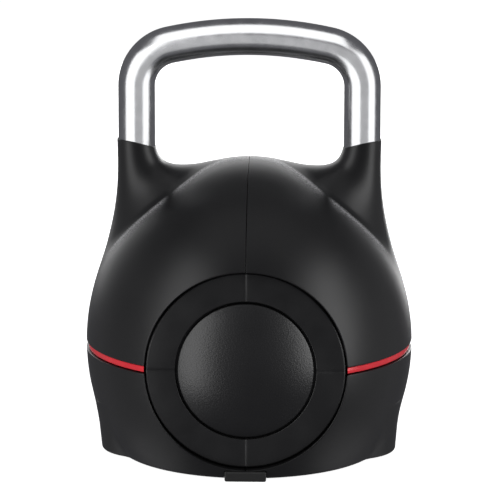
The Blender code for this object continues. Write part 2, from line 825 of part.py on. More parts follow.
def ring_profile():
    """Lock ring: chamfered outer edge, and a rebate at the back that clears the dome's flange."""
    cut = RING_CHAMFER
    inner_cut = RING_INNER_CHAMFER
    rebate_r = DOME_R + DOME_FLANGE + 2.0 * GAP
    rebate = DOME_FLANGE_FRONT + GAP
    return [
        (RING_IN_R, rebate),
        (RING_IN_R, RING_FACE - inner_cut),
        (RING_IN_R + inner_cut, RING_FACE),
        (RING_R - cut, RING_FACE),
        (RING_R, RING_FACE - cut),
        (RING_R, RING_BACK),
        (rebate_r, RING_BACK),
        (rebate_r, rebate),
    ]


def index_grooves(shape, sign):
    """V grooves across the ring's face, one at each quarter."""
    face = sign * (RING_FACE + GAP)
    floor = sign * (RING_FACE - INDEX_GROOVE_DEPTH)
    for k in range(INDEX_GROOVES):
        turn = Matrix.Rotation(math.pi / 2.0 * k, 3, "Y")
        ends = []
        for reach in (RING_IN_R - PAST_CUT, RING_R + PAST_CUT):
            section = []
            for across, along in ((-INDEX_GROOVE_HALF, face), (INDEX_GROOVE_HALF, face), (0.0, floor)):
                point = turn @ Vector((across, along, reach))
                point.z += EQUATOR_Z
                section.append(shape.verts.new(point))
            ends.append(section)
        join_rings(shape, ends[0], ends[1])
        shape.faces.new(ends[0])
        shape.faces.new(ends[1])


def stack_profiles():
    """Profiles of the plain turned pieces of a cartridge, from its inner end outwards."""
    hole = SPINDLE_R + GAP
    washer_start = STACK_START - GAP - WASHER_THICK
    nut_end = washer_start - GAP
    nut_side = hexagon(SPINDLE_HEX_HALF)
    yield "spindle_nut", rectangle(hole, nut_side, nut_end - SPINDLE_NUT_H, nut_end), HUB_STEPS, "steel"
    yield "spindle_washer", rectangle(hole, WASHER_R, washer_start, STACK_START - GAP), HUB_STEPS, "steel"
    along = STACK_START
    for number in range(1, DISC_COUNT + 1):
        disc = rectangle(DISC_BORE_R, DISC_R, along, along + DISC_THICK)
        yield "weight_disc_" + str(number), disc, ROUND_STEPS, "iron"
        along += DISC_THICK + GAP
    bush = rectangle(DISC_BORE_R, BUSH_R, along, PLATE_BACK - GAP)
    yield "spacer_bush", bush, HUB_STEPS, "steel"
    yield "base_plate", rectangle(DISC_BORE_R, PLATE_R, PLATE_BACK, PLATE_FRONT), ROUND_STEPS, "steel"
    head_back = PLATE_FRONT + GAP
    head_front = head_back + SPINDLE_HEAD_H
    spindle = [
        (0.0, SPINDLE_END),
        (SPINDLE_R, SPINDLE_END),
        (SPINDLE_R, head_back),
        (SPINDLE_HEAD_R, head_back),
        (SPINDLE_HEAD_R, head_front),
        (0.0, head_front),
    ]
    yield "spindle", spindle, HUB_STEPS, "steel"
    yield "seal", rectangle(SEAL_IN_R, SEAL_OUT_R, head_back, RING_BACK - GAP), ROUND_STEPS, "rubber"


def rectangle(inner, outer, back, front):
    return [(inner, back), (outer, back), (outer, front), (inner, front)]


def mirrored(profile, sign):
    return [(radius, sign * along) for radius, along in profile]


def make_cartridge(sign, word, looks):
    """Everything that slides out of one end of the drum, and the ring that locks it in."""
    axis = (0.0, EQUATOR_Z)
    pivot = bpy.data.objects.new(word + "_cartridge_axis", None)
    pivot.location = (0.0, sign * RING_FACE, EQUATOR_Z)
    bpy.context.scene.collection.objects.link(pivot)

    def turned_piece(name, profile, steps, look):
        signed = mirrored(profile, sign)
        piece = new_object(word + "_" + name, lambda s: turned(s, signed, steps, axis), looks[look])
        piece.parent = pivot
        piece.matrix_parent_inverse = Matrix.Translation(-pivot.location)
        return piece

    for name, profile, steps, look in stack_profiles():
        turned_piece(name, profile, steps, look)
    turned_piece("dome_cover", dome_profile(), ROUND_STEPS, "dome")
    ring = turned_piece("lock_ring", ring_profile(), RING_STEPS, "ring")
    grooves = as_cutter(new_object(word + "_index_grooves", lambda s: index_grooves(s, sign), None))
    boolean(ring, grooves, "DIFFERENCE")


def main():
    clear_scene()
    looks = finishes()
    make_shells(looks["shell"])
    bolt_holes = make_handle(looks)
    make_drum(looks["iron"], bolt_holes)
    make_trim(looks)
    make_cartridge(-1.0, "front", looks)
    make_cartridge(1.0, "rear", looks)


main()
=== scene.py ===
"""Looks of the adjustable kettlebell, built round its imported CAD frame.

The four ball shells are meshed finely from the same rounded form that the CAD shells approximate. The
handle, rings, domes and weight stacks are made again with their chamfers, grooves and rounded edges.
Metres, +Z up; the handle runs along X and the front lock ring faces -Y.
"""

import json
import math

import bmesh
import bpy
import numpy as np
from mathutils import Matrix, Vector

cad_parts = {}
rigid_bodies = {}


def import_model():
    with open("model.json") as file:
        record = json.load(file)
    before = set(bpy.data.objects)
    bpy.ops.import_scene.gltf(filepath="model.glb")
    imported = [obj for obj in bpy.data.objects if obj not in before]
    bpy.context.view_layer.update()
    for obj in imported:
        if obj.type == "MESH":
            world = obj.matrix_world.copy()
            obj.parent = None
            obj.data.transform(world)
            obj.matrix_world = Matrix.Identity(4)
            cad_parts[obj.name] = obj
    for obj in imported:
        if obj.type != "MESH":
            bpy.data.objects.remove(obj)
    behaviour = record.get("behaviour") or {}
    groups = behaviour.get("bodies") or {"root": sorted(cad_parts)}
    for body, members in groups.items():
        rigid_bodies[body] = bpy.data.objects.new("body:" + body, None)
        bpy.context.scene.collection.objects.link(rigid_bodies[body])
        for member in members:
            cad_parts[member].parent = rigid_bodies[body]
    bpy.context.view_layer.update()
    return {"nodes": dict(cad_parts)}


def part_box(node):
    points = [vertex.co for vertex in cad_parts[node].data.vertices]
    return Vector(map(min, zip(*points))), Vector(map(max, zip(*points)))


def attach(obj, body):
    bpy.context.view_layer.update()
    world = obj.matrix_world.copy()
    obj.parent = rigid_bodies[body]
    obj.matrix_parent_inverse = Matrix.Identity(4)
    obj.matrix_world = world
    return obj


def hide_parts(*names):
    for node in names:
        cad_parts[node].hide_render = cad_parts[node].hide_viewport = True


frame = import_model()

MM = 0.001


def middle(node):
    low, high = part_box(node)
    return (Vector(low) + Vector(high)) / 2.0


# -------- driving sizes

EQUATOR_Z = middle("front_lock_ring").z
LEG_X = middle("handle_gasket_right").x
BASE_Z = 0.8 * MM
FIT_GAP = 0.3 * MM
CLOSE_GAP = 0.02 * MM

# Ball, shoulders and side feet: the form that the CAD shells follow
BALL_R = 125.0 * MM
CROWN_H = 143.0 * MM
BELLY_H = 139.3 * MM
LIP_Z = EQUATOR_Z + 154.6 * MM
LIP_SLOPE = 0.21
LIP_RISE = 9.7
CORE_TOP = 229.6 * MM
CORE_R = 1.7 * MM
CORE_TAPER = 0.562
CORE_CURVE = 7.9
CORE_TURN = 17.5
CORE_SPLAY = 0.039
CORE_BEND = 0.175
CORE_FADE = 2.0
SHOULDER_FLARE = 81.1 * MM
SHOULDER_SINK = 1.2 * MM
CREASE_Y = 30.0 * MM
CREASE_SINK = 15.7 * MM
CREASE_FLARE = 51.5 * MM
SHOULDER_CREASE = 3.0 * MM
FOOT_X = 113.2 * MM
FOOT_LEAN = 0.06
FOOT_HALF_Y = 44.0 * MM
FOOT_TAPER_Y = 0.45
FOOT_CORNER = 36.0 * MM
FOOT_TOP_DROP = 40.0 * MM
FOOT_CREASE = 4.0 * MM
BASE_CREASE = 3.0 * MM
WALL = 4.0 * MM
SEAM_HALF_GAP = 0.2 * MM
GROOVE_HALF = 2.9 * MM
MOUTH_R = 75.2 * MM
SKIRT_R = 79.0 * MM
FLANGE_IN_R = 64.5 * MM
FLANGE_BACK = 88.0 * MM
FLANGE_FRONT = 92.0 * MM

# Quarter of a mouth's skirt and flange: how far behind the shell's face its two edges lie
COLLAR_SINK = 2.0 * MM
SKIRT_SINK = 3.0 * MM
COLLAR_STEPS = 40

# Pockets for the rubber feet
POCKET_PLAY = 0.35 * MM
POCKET_BELOW = -5.0 * MM
POCKET_OUT = 30.0 * MM

# Painted highlight along the ball's side of the crease under each shoulder, with a painted break in the
# streak
HIGHLIGHT_START = 0.8 * MM
HIGHLIGHT_WIDTH = 1.2 * MM
HIGHLIGHT_GAP_X = 59.0 * MM
HIGHLIGHT_GAP_WIDTH = 5.0 * MM
HIGHLIGHT_OUTER_X = 98.0 * MM
HIGHLIGHT_FADE = 12.0 * MM

# Rounded edges of the shells: at the seam, the mouth and the groove, and at the lip
EDGE_R = (0.25 * MM, 0.55 * MM, 0.5 * MM)
EDGE_STEPS = 4
LIP_EDGE_R = 0.35 * MM
LIP_BEVEL = 0.15 * MM
BORE_R = 14.3 * MM
POLE_WALL = 1.15 * WALL

# How finely the shells are searched: angles are above or below the groove
UPPER_START = math.radians(80.0)
LOWER_START = math.radians(89.9)
LIP_START = math.radians(70.0)
LIP_END = math.radians(89.5)
MOUTH_HEADING = math.radians(75.0)
SIDE_HEADING = math.radians(120.0)
RAY_HALVINGS = 26
EDGE_HALVINGS = 30
CORNER_HALVINGS = 24
CORNER_HAIR = 0.0004
WALL_TRIALS = 160
FAN_SHARE = 0.5
ROW_TRIALS = 240
BEND_WEIGHT = 12.0 * MM
END_ROW = 0.004
ROW_SMOOTHING = 30

# Columns along the seam, the mouth and the side, and rows
UPPER_MESH = ((90, 48, 90), 96)
LOWER_MESH = ((60, 48, 90), 84)

# Handle
TUBE_R = 14.0 * MM
TUBE_BORE_R = 11.0 * MM
TOP_ARC_R = 282.0 * MM
TOP_Z = EQUATOR_Z + 236.1 * MM
CORNER_R = 32.0 * MM
LEG_END_Z = EQUATOR_Z + 12.0 * MM
TOP_STEPS = 20
BEND_STEPS = 28
LEG_STEPS = 12
TUBE_SIDES = 72
GASKET_LOW = -0.6 * MM
GASKET_HIGH = 0.1 * MM
GASKET_EDGE = 0.08 * MM
GASKET_STEPS = 96

# Red strips and rubber feet
BAND_IN_R = 118.8 * MM
BAND_OUT_R = 123.5 * MM
BAND_HALF = 2.2 * MM
BAND_CROWN = 0.25 * MM
BAND_EDGE = 0.45 * MM
BAND_END_GAP = 0.5 * MM
BAND_STEPS = 140
TAB_EDGE = 1.3 * MM
PAD_EDGE = 0.7 * MM

# Rings, domes and what they cover: distances along Y are measured outwards from the middle
RING_LOW, RING_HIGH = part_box("front_lock_ring")
RING_R = (RING_HIGH[0] - RING_LOW[0]) / 2.0
RING_IN_R = 52.5 * MM
RING_FACE = -RING_LOW[1]
RING_BACK = 92.3 * MM
DOME_R = 51.2 * MM
DOME_RISE = 14.5 * MM
DOME_EDGE = 99.6 * MM
DOME_SKIN = 3.0 * MM
DOME_FLANGE = 4.4 * MM
DOME_FLANGE_FRONT = 93.6 * MM
PLATE_FRONT = 90.3 * MM
STACK_BORE_R = 8.4 * MM
WASHER_BORE_R = 8.3 * MM
SEAL_BORE_R = 56.4 * MM

# Camera and lamps
CAMERA_DISTANCE = 2.5
CAMERA_RISE = math.radians(13.0)
CAMERA_TURN = math.radians(1.46)
CAMERA_ROLL = math.radians(0.1)
CAMERA_LENS = 233.3
AIM_UP = math.radians(1.602)
AIM_RIGHT = math.radians(0.014)
FLOOR_REACH = 6.0
LAMP_TARGET_Z = 0.17
LAMP_DISTANCE = 2.0

# Fineness and limits shared by all pieces
LONGEST_RAY = 250.0 * MM
NORMAL_STEP = 0.02 * MM
ROUND_STEPS = 128
SPINDLE_STEPS = 64
SHARP_DEGREES = 35.0
RING_SHARP_DEGREES = 25.0
CAD_SHARP_DEGREES = 40.0
CAD_EDGE = 0.3 * MM
ARC_STEPS = 3
ARC_SHARE = 0.45
TINY = 1e-9
NO_LENGTH = 1e-12


# -------- mesh helpers


def mesh_object(name, verts, faces, finish, sharp_degrees=SHARP_DEGREES):
    """A smooth-shaded object with its faces turned outwards."""
    mesh = bpy.data.meshes.new(name)
    mesh.from_pydata([tuple(v) for v in verts], [], faces)
    shape = bmesh.new()
    shape.from_mesh(mesh)
    bmesh.ops.recalc_face_normals(shape, faces=shape.faces)
    shape.to_mesh(mesh)
    shape.free()
    mesh.shade_smooth()
    mesh.set_sharp_from_angle(angle=math.radians(sharp_degrees))
    made = bpy.data.objects.new(name, mesh)
    bpy.context.scene.collection.objects.link(made)
    if finish is not None:
        mesh.materials.append(finish)
    return made


def stand_in(piece, body, node):
    """The piece moves with the body and is seen instead of the CAD node."""
    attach(piece, body)
    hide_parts(node)


def loft(loops, closed_run=False):
    """Vertices and quads between successive closed loops of equal length."""
    size = len(loops[0])
    verts = [point for loop in loops for point in loop]
    faces = []
    runs = len(loops) if closed_run else len(loops) - 1
    for i in range(runs):
        a = i * size
        b = ((i + 1) % len(loops)) * size
        for j in range(size):
            k = (j + 1) % size
            faces.append((a + j, a + k, b + k, b + j))
    return verts, faces


def capped_loft(loops):
    """A loft with a face over each end."""
    verts, faces = loft(loops)
    size = len(loops[0])
    faces.append(tuple(range(size)))
    faces.append(tuple(range(len(verts) - size, len(verts))))
    return verts, faces


def lathe(profile, steps, sign):
    """Solid turned about the cartridges' axis. A point of radius 0 becomes one vertex on the axis."""
    verts = []
    rings = []
    for radius, along in profile:
        ring = []
        for i in range(1 if radius == 0.0 else steps):
            turn = 2.0 * math.pi * i / steps
            ring.append(len(verts))
            verts.append((radius * math.cos(turn), sign * along, EQUATOR_Z + radius * math.sin(turn)))
        rings.append(ring)
    pairs = list(zip(rings, rings[1:]))
    if len(rings[0]) > 1:
        pairs.append((rings[-1], rings[0]))
    faces = []
    for first, second in pairs:
        for i in range(steps):
            j = (i + 1) % steps
            corners = [first[i % len(first)], first[j % len(first)]]
            corners += [second[j % len(second)], second[i % len(second)]]
            faces.append(tuple(dict.fromkeys(corners)))
    return verts, faces


def rounded(points, radius):
    """A closed profile with each corner cut by a small arc."""
    result = []
    count = len(points)
    for i, point in enumerate(points):
        here = Vector(point)
        before = Vector(points[i - 1]) - here
        after = Vector(points[(i + 1) % count]) - here
        reach = min(radius, before.length * ARC_SHARE, after.length * ARC_SHARE)
        start = here + before.normalized() * reach
        end = here + after.normalized() * reach
        for k in range(ARC_STEPS + 1):
            t = k / ARC_STEPS
            blend = start.lerp(here, t).lerp(here.lerp(end, t), t)
            result.append((blend.x, blend.y))
    return result


# -------- form of the ball


def smooth_min(a, b, width):
    overlap = np.maximum(width - np.abs(a - b), 0.0) / width
    return np.minimum(a, b) - overlap * overlap * width * 0.25


def ball_field(x, y, z):
    height = np.where(z > 0.0, CROWN_H, BELLY_H)
    unit = np.sqrt((x * x + y * y) / BALL_R**2 + (z / height) ** 2)
    slope = np.sqrt((x * x + y * y) / BALL_R**4 + (z / height**2) ** 2)
    return unit * (unit - 1.0) / np.maximum(slope, TINY)


def shoulder_field(x, y, z, ball):
    """A core round each leg, blended into a slightly sunk ball; off the middle plane it ends in a crease."""
    depth = CORE_TOP - z
    radius = CORE_R + CORE_TAPER * depth - CORE_CURVE * depth**2 + CORE_TURN * depth**3
    centre = LEG_X + CORE_SPLAY * depth + CORE_BEND * depth**2
    core = np.hypot(np.abs(x) - centre, y) - radius + CORE_FADE * np.maximum(-z, 0.0)
    off = y * y / (y * y + CREASE_Y**2)
    sunk = ball + SHOULDER_SINK + CREASE_SINK * off
    return smooth_min(core, sunk, SHOULDER_FLARE + CREASE_FLARE * off)


def foot_field(x, y, z):
    rise = z + EQUATOR_Z - BASE_Z
    over_x = np.abs(x) - (FOOT_X + FOOT_LEAN * rise - FOOT_CORNER)
    over_y = np.abs(y) - (FOOT_HALF_Y + FOOT_TAPER_Y * rise - FOOT_CORNER)
    outside = np.hypot(np.maximum(over_x, 0.0), np.maximum(over_y, 0.0))
    inside = np.minimum(np.maximum(over_x, over_y), 0.0)
    return np.maximum(outside + inside - FOOT_CORNER, z + FOOT_TOP_DROP)


def body_field(points):
    """Negative inside the outer form of the bell, zero on it."""
    x, y, z = points[..., 0], points[..., 1], points[..., 2] - EQUATOR_Z
    ball = ball_field(x, y, z)
    form = smooth_min(ball, shoulder_field(x, y, z, ball), SHOULDER_CREASE)
    form = smooth_min(form, foot_field(x, y, z), FOOT_CREASE)
    return -smooth_min(-form, z + EQUATOR_Z - BASE_Z, BASE_CREASE)


def body_normals(points):
    parts = []
    for axis in range(3):
        step = np.zeros(3)
        step[axis] = NORMAL_STEP
        parts.append(body_field(points + step) - body_field(points - step))
    normals = np.stack(parts, axis=-1)
    return normals / np.linalg.norm(normals, axis=-1, keepdims=True)


def lip_height(x, y):
    return LIP_Z + LIP_SLOPE * (np.abs(x) - LEG_X) + LIP_RISE * y * y


def cast(start, directions):
    """Points where rays from start leave the form."""
    near = np.zeros(directions.shape[:-1])
    far = np.full(directions.shape[:-1], LONGEST_RAY)
    for _ in range(RAY_HALVINGS):
        half = (near + far) / 2.0
        inside = body_field(start + directions * half[..., None]) < 0.0
        near = np.where(inside, half, near)
        far = np.where(inside, far, half)
    return start + directions * ((near + far) / 2.0)[..., None]


# -------- ball shells


class Quarter:
    """One quarter of the ball, made at x < 0 and mirrored when it is wanted on the right.

    Columns run from the lip, or from the point of the base under the leg, to the seam, the mouth or
    the groove. Headings turn round the leg's axis, 0 towards the seam.
    """

    SEAM, MOUTH, GROOVE = 0, 1, 2

    def __init__(self, upward):
        self.upward = upward
        self.sign = 1.0 if upward else -1.0
        self.start = np.array([-LEG_X, 0.0, EQUATOR_Z + self.sign * GROOVE_HALF])

    def directions(self, headings, angles):
        flat = np.cos(angles)
        rise = self.sign * np.sin(angles)
        return np.stack([flat * np.cos(headings), flat * np.sin(headings), rise], axis=-1)

    def wall_margins(self, points):
        """Distances inside the seam, mouth and groove walls; negative past them."""
        seam = -SEAM_HALF_GAP - points[..., 0]
        mouth = np.hypot(points[..., 0], points[..., 2] - EQUATOR_Z) - MOUTH_R
        groove = self.sign * (points[..., 2] - EQUATOR_Z) - GROOVE_HALF
        return np.stack([seam, mouth, groove], axis=-1)

    def surface_at(self, headings, angles):
        points = cast(self.start, self.directions(headings, angles))
        return points, body_normals(points)

    def edge_clearance(self, headings, angles):
        """Room left inside each wall by a rounded edge that starts at these angles."""
        points, normals = self.surface_at(headings, angles)
        rooms = []
        for wall, radius in enumerate(EDGE_R):
            rooms.append(self.wall_margins(points - radius * normals)[..., wall] - radius)
        return np.stack(rooms, axis=-1)

    def lower_ends(self, headings):
        """Angle of each column at which the rounded edge of its wall begins, and which wall it is."""
        inside = np.full(headings.shape, UPPER_START if self.upward else LOWER_START)
        outside = np.zeros(headings.shape)
        for _ in range(EDGE_HALVINGS):
            half = (inside + outside) / 2.0
            clear = self.edge_clearance(headings, half).min(axis=-1) > 0.0
            inside = np.where(clear, half, inside)
            outside = np.where(clear, outside, half)
        walls = self.edge_clearance(headings, inside).argmin(axis=-1)
        return inside, walls

    def upper_ends(self, headings):
        """Angle of each column at which the rounded edge of the lip begins."""
        inside = np.full(headings.shape, LIP_START)
        outside = np.full(headings.shape, LIP_END)
        for _ in range(EDGE_HALVINGS):
            half = (inside + outside) / 2.0
            points, normals = self.surface_at(headings, half)
            centres = points - LIP_EDGE_R * normals
            clear = lip_height(centres[..., 0], centres[..., 1]) - centres[..., 2] > LIP_EDGE_R
            inside = np.where(clear, half, inside)
            outside = np.where(clear, outside, half)
        return inside

    def corner_heading(self, first, second, wall):
        """Heading between first and second at which the columns stop ending on the given wall."""
        for _ in range(CORNER_HALVINGS):
            half = (first + second) / 2.0
            if self.lower_ends(np.array([half]))[1][0] == wall:
                first = half
            else:
                second = half
        return (first + second) / 2.0

    def headings(self, seam_steps, mouth_steps, side_steps):
        """Columns spread evenly along each wall, with a pair of close columns at each corner."""
        near = self.corner_heading(0.0, MOUTH_HEADING, self.SEAM)
        far = self.corner_heading(MOUTH_HEADING, SIDE_HEADING, self.MOUTH)
        hair = CORNER_HAIR
        sectors = (
            (-near + hair, near - hair, seam_steps),
            (near + hair, far - hair, mouth_steps),
            (far + hair, 2.0 * math.pi - far - hair, side_steps),
            (2.0 * math.pi - far + hair, 2.0 * math.pi - near - hair, mouth_steps),
        )
        result = []
        for first, last, steps in sectors:
            trial = np.linspace(first, last, WALL_TRIALS)
            ends = cast(self.start, self.directions(trial, self.lower_ends(trial)[0]))
            run = np.concatenate([[0.0], np.cumsum(np.linalg.norm(np.diff(ends, axis=0), axis=1))])
            # A little of the turn itself keeps the columns close where they fan out from the leg.
            measure = run / run[-1] + FAN_SHARE * (trial - first) / (last - first)
            result.append(np.interp(np.linspace(0.0, measure[-1], steps + 1), measure, trial))
        return np.concatenate(result)

    def outer_rows(self, headings, rows):
        """Points (column, row) from the lip or the base to the wall's rounded edge, closer on bends."""
        low, walls = self.lower_ends(headings)
        high = self.upper_ends(headings) if self.upward else np.full(headings.shape, math.pi / 2.0)
        share = np.linspace(0.0, 1.0, ROW_TRIALS)
        angles = high[:, None] + (low - high)[:, None] * share[None, :]
        wide = np.repeat(headings[:, None], len(share), axis=1)
        points = cast(self.start, self.directions(wide, angles))
        steps = np.diff(points, axis=1)
        lengths = np.linalg.norm(steps, axis=2)
        unit = steps / np.maximum(lengths, NO_LENGTH)[..., None]
        bends = np.arccos(np.clip((unit[:, 1:] * unit[:, :-1]).sum(axis=2), -1.0, 1.0))
        measure = lengths.copy()
        measure[:, 1:] += bends * BEND_WEIGHT
        run = np.concatenate([np.zeros((len(headings), 1)), np.cumsum(measure, axis=1)], axis=1)
        run /= run[:, -1:]
        wanted = np.concatenate([[0.0], np.linspace(END_ROW, 1.0 - END_ROW, rows - 2), [1.0]])
        chosen = np.stack([np.interp(wanted, run[i], angles[i]) for i in range(len(headings))])
        # Neighbouring columns share their spacing, so that the rows stay smooth.
        chosen = self.smooth_rows(chosen)
        wide = np.repeat(headings[:, None], rows, axis=1)
        return cast(self.start, self.directions(wide, chosen)), walls

    def smooth_rows(self, angles):
        """Evens the rows between columns without moving their two ends."""
        share = (angles - angles[:, :1]) / (angles[:, -1:] - angles[:, :1])
        for _ in range(ROW_SMOOTHING):
            share = (np.roll(share, 1, axis=0) + 2.0 * share + np.roll(share, -1, axis=0)) / 4.0
        return angles[:, :1] + share * (angles[:, -1:] - angles[:, :1])

    def wall_normals(self, points, walls):
        radial = points[:, [0, 2]] - np.array([0.0, EQUATOR_Z])
        radial /= np.linalg.norm(radial, axis=1, keepdims=True)
        choices = np.zeros((3, len(points), 3))
        choices[self.SEAM, :, 0] = 1.0
        choices[self.MOUTH, :, 0] = -radial[:, 0]
        choices[self.MOUTH, :, 2] = -radial[:, 1]
        choices[self.GROOVE, :, 2] = -self.sign
        return choices[walls, np.arange(len(points))]

    def lower_edge(self, ends, walls):
        """The rounded edge, and the wall's inner end."""
        surface = body_normals(ends)
        wall = self.wall_normals(ends, walls)
        radius = np.array(EDGE_R)[walls][:, None]
        centres = ends - radius * surface
        rows = arc_rows(centres, surface, wall, radius, EDGE_STEPS)
        inward = -(surface - (surface * wall).sum(axis=1, keepdims=True) * wall)
        inward /= np.linalg.norm(inward, axis=1, keepdims=True)
        inward[walls == self.MOUTH] = 0.0
        inward[walls == self.MOUTH, 1] = -np.sign(ends[walls == self.MOUTH, 1])
        rows.append(rows[-1] + WALL * inward)
        return rows

    def upper_edge(self, tops, headings):
        """The lip's rounded edge, its flat, and the bore that the leg stands in, bottom last."""
        surface = body_normals(tops)
        slope = np.stack(
            [LIP_SLOPE * np.ones(len(tops)), -2.0 * LIP_RISE * tops[:, 1], np.ones(len(tops))], axis=1
        )
        slope /= np.linalg.norm(slope, axis=1, keepdims=True)
        centres = tops - LIP_EDGE_R * surface
        rows = arc_rows(centres, surface, slope, LIP_EDGE_R, EDGE_STEPS)
        for radius, drop in ((BORE_R + LIP_BEVEL, 0.0), (BORE_R, LIP_BEVEL), (BORE_R, WALL)):
            x = -LEG_X + radius * np.cos(headings)
            y = radius * np.sin(headings)
            rows.append(np.stack([x, y, lip_height(x, y) - drop], axis=1))
        return rows

    def inner_rows(self, outer):
        """The hollow's surface, coarser than the outer one, from the lower edge up."""
        chosen = outer[:, 6:-6:4][:, ::-1]
        if self.upward:
            points = chosen - WALL * body_normals(chosen)
            across = points[..., :2] - self.start[:2]
            reach = np.linalg.norm(across, axis=-1, keepdims=True)
            points[..., :2] = self.start[:2] + across * np.maximum(BORE_R / np.maximum(reach, TINY), 1.0)
            return points
        towards = chosen - self.start
        reach = np.linalg.norm(towards, axis=-1, keepdims=True)
        return self.start + towards * (1.0 - POLE_WALL / reach)

    def mesh(self, steps, rows):
        """Closed shell on the left side as vertices and faces."""
        headings = self.headings(*steps)
        outer, walls = self.outer_rows(headings, rows)
        loops = [outer[:, k] for k in range(rows)]
        loops += self.lower_edge(outer[:, -1], walls)
        inner = self.inner_rows(outer)
        loops += [inner[:, k] for k in range(inner.shape[1])]
        if self.upward:
            loops += self.upper_edge(outer[:, 0], headings)[::-1]
            verts, faces = loft(loops, closed_run=True)
        else:
            verts, faces = self.capped(loops)
        return np.array(verts), faces

    def capped(self, loops):
        """The lower quarter starts and ends at single points under the leg."""
        size = len(loops[0])
        verts, faces = loft(loops[1:])
        outer_pole = len(verts)
        inner_pole = outer_pole + 1
        last = (len(loops) - 2) * size
        verts = list(verts) + [loops[0][0], loops[0][0] + np.array([0.0, 0.0, POLE_WALL])]
        for j in range(size):
            k = (j + 1) % size
            faces.append((j, k, outer_pole))
            faces.append((last + j, last + k, inner_pole))
        return verts, faces


def arc_rows(centres, first, last, radius, steps):
    """Rows round a rounded edge, whose normal turns from first to last."""
    angle = np.arccos(np.clip((first * last).sum(axis=1), -1.0, 1.0))[:, None]
    rows = []
    for k in range(1, steps + 1):
        t = k / steps
        normal = (np.sin((1.0 - t) * angle) * first + np.sin(t * angle) * last) / np.sin(angle)
        rows.append(centres + radius * normal)
    return rows


def collar(side, up, end):
    """Quarter of a mouth's skirt and inward flange, as a closed sector."""
    loops = []
    for i in range(COLLAR_STEPS + 1):
        share = i / COLLAR_STEPS
        turn_mid = share * math.pi / 2.0
        x_mid = MOUTH_R * math.cos(turn_mid)
        z_mid = MOUTH_R * math.sin(turn_mid)
        probe = np.array([[side * x_mid, 0.0, EQUATOR_Z + up * z_mid]])
        lip = abs(cast(probe, np.array([[0.0, end, 0.0]]))[0, 1]) - COLLAR_SINK
        inner = MOUTH_R + CLOSE_GAP
        outline = (
            (inner, lip),
            (inner, FLANGE_FRONT),
            (FLANGE_IN_R, FLANGE_FRONT),
            (FLANGE_IN_R, FLANGE_BACK),
            (SKIRT_R, FLANGE_BACK),
            (SKIRT_R, lip - SKIRT_SINK),
        )
        loop = []
        for radius, along in outline:
            first = math.asin(GROOVE_HALF / radius)
            last = math.acos(SEAM_HALF_GAP / radius)
            turn = first + share * (last - first)
            x = side * radius * math.cos(turn)
            z = EQUATOR_Z + up * radius * math.sin(turn)
            loop.append((x, end * along, z))
        loops.append(loop)
    return capped_loft(loops)


def cut(item, cutter):
    """Takes the cutter's volume out of the item for good."""
    modifier = item.modifiers.new("cut", "BOOLEAN")
    modifier.operation = "DIFFERENCE"
    modifier.object = cutter
    modifier.solver = "EXACT"
    bpy.context.view_layer.update()
    evaluated = item.evaluated_get(bpy.context.evaluated_depsgraph_get())
    mesh = bpy.data.meshes.new_from_object(evaluated)
    item.modifiers.clear()
    old = item.data
    item.data = mesh
    bpy.data.meshes.remove(old)
    mesh.set_sharp_from_angle(angle=math.radians(SHARP_DEGREES))


def drop(item):
    bpy.data.objects.remove(item, do_unlink=True)


def join(items):
    """Joins finished objects into the first one."""
    shape = bmesh.new()
    for item in items:
        shape.from_mesh(item.data)
    target = items[0].data
    shape.to_mesh(target)
    shape.free()
    for item in items[1:]:
        drop(item)
    target.shade_smooth()
    target.set_sharp_from_angle(angle=math.radians(SHARP_DEGREES))
    return items[0]


def box_mesh(low, high):
    verts = [(x, y, z) for x in (low[0], high[0]) for y in (low[1], high[1]) for z in (low[2], high[2])]
    faces = [(0, 1, 3, 2), (4, 6, 7, 5), (0, 4, 5, 1), (2, 3, 7, 6), (0, 2, 6, 4), (1, 5, 7, 3)]
    return verts, faces


def pocket_cutters():
    """Blocks a little larger than each foot tab and side pad."""
    play = Vector((POCKET_PLAY, POCKET_PLAY, POCKET_PLAY))
    made = []
    for node in ("foot_tab_front", "foot_tab_rear", "side_foot_pad_left", "side_foot_pad_right"):
        low, high = (Vector(corner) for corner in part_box(node))
        low, high = low - play, high + play
        low.z = POCKET_BELOW
        if node.endswith("rear"):
            high.y += POCKET_OUT
        elif node.endswith("front"):
            low.y -= POCKET_OUT
        made.append(mesh_object("pocket_" + node, *box_mesh(low, high), None))
    return made


def mark_rubbed(item, verts):
    """Stores how much painted highlight each point gets: most along the ball's side of the crease under each
    shoulder.
    """
    x, y, z = verts[:, 0], verts[:, 1], verts[:, 2] - EQUATOR_Z
    ball = ball_field(x, y, z)
    past = shoulder_field(x, y, z, ball) - ball
    near = np.clip(past / HIGHLIGHT_START, 0.0, 1.0) * np.exp(-np.maximum(past, 0.0) / HIGHLIGHT_WIDTH)
    # Painted break: the highlight fades out around the gap distance from the middle, where the streak goes
    # dark.
    ends = 1.0 - np.exp(-((np.abs(x) - HIGHLIGHT_GAP_X) / HIGHLIGHT_GAP_WIDTH) ** 2)
    inside = np.clip(1.0 - (np.abs(x) - HIGHLIGHT_OUTER_X) / HIGHLIGHT_FADE, 0.0, 1.0)
    on_skin = np.abs(ball) < HIGHLIGHT_START
    highlight_paint = np.where((z > 0.0) & on_skin, near * ends * inside, 0.0)
    layer = item.data.attributes.new("painted_highlight", "FLOAT", "POINT")
    layer.data.foreach_set("value", highlight_paint.astype(np.float32))


